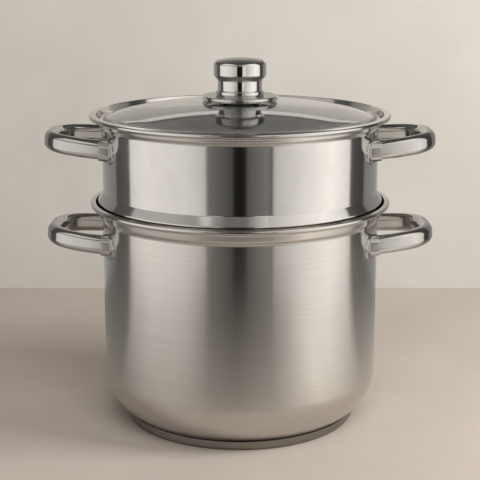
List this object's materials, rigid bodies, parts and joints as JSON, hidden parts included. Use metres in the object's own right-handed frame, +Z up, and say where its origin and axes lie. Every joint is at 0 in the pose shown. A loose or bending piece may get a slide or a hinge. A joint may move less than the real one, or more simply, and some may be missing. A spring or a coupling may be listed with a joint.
{
  "type": "steamer pot",
  "caption": "Stainless steamer pot: tall pot with a layered base, lift-out steamer with a perforated floor, domed glass lid with a steel knob, and tubular loop handles.",
  "frame": {"origin": "middle of the underside of the base, on the surface that the pot stands on", "axes": "+Z up along the pot's axis, +X out through the right-hand handles, front towards -Y"},
  "size_m": [0.3388, 0.262, 0.3184],
  "materials": {
    "satin_steel": "satin stainless steel with fine rings of brushing",
    "polished_steel": "mirror-polished stainless steel",
    "base_steel": "satin stainless steel",
    "aluminium_core": "plain",
    "clear_glass": "clear tempered glass",
    "silicone": "matt translucent silicone",
    "fastener_steel": "plain bright steel"
  },
  "bodies": {
    "pot": {"pot_body": "satin_steel", "base_cap": "base_steel", "base_core": "aluminium_core", "pot_handle_left": "polished_steel", "pot_foot_left_front": "polished_steel", "pot_foot_left_rear": "polished_steel", "pot_handle_right": "polished_steel", "pot_foot_right_front": "polished_steel", "pot_foot_right_rear": "polished_steel"},
    "steamer": {"steamer_body": "polished_steel", "steamer_handle_left": "polished_steel", "steamer_foot_left_front": "polished_steel", "steamer_foot_left_rear": "polished_steel", "steamer_handle_right": "polished_steel", "steamer_foot_right_front": "polished_steel", "steamer_foot_right_rear": "polished_steel"},
    "lid": {"lid_glass": "clear_glass", "lid_ring": "polished_steel", "knob_flange": "polished_steel", "knob_neck": "polished_steel", "knob_cap": "polished_steel", "knob_insert": "fastener_steel", "knob_gasket_upper": "silicone", "knob_gasket_lower": "silicone", "knob_retaining_cup": "polished_steel", "knob_flat_washer": "fastener_steel", "knob_spring_washer": "fastener_steel", "knob_screw": "fastener_steel"}
  },
  "joints": [
    {"name": "steamer_lift", "type": "slide", "parent": "pot", "child": "steamer", "axis": [0, 0, 1], "range_m": [0, 0.12]},
    {"name": "lid_lift", "type": "slide", "parent": "steamer", "child": "lid", "axis": [0, 0, 1], "range_m": [0, 0.1]}
  ]
}
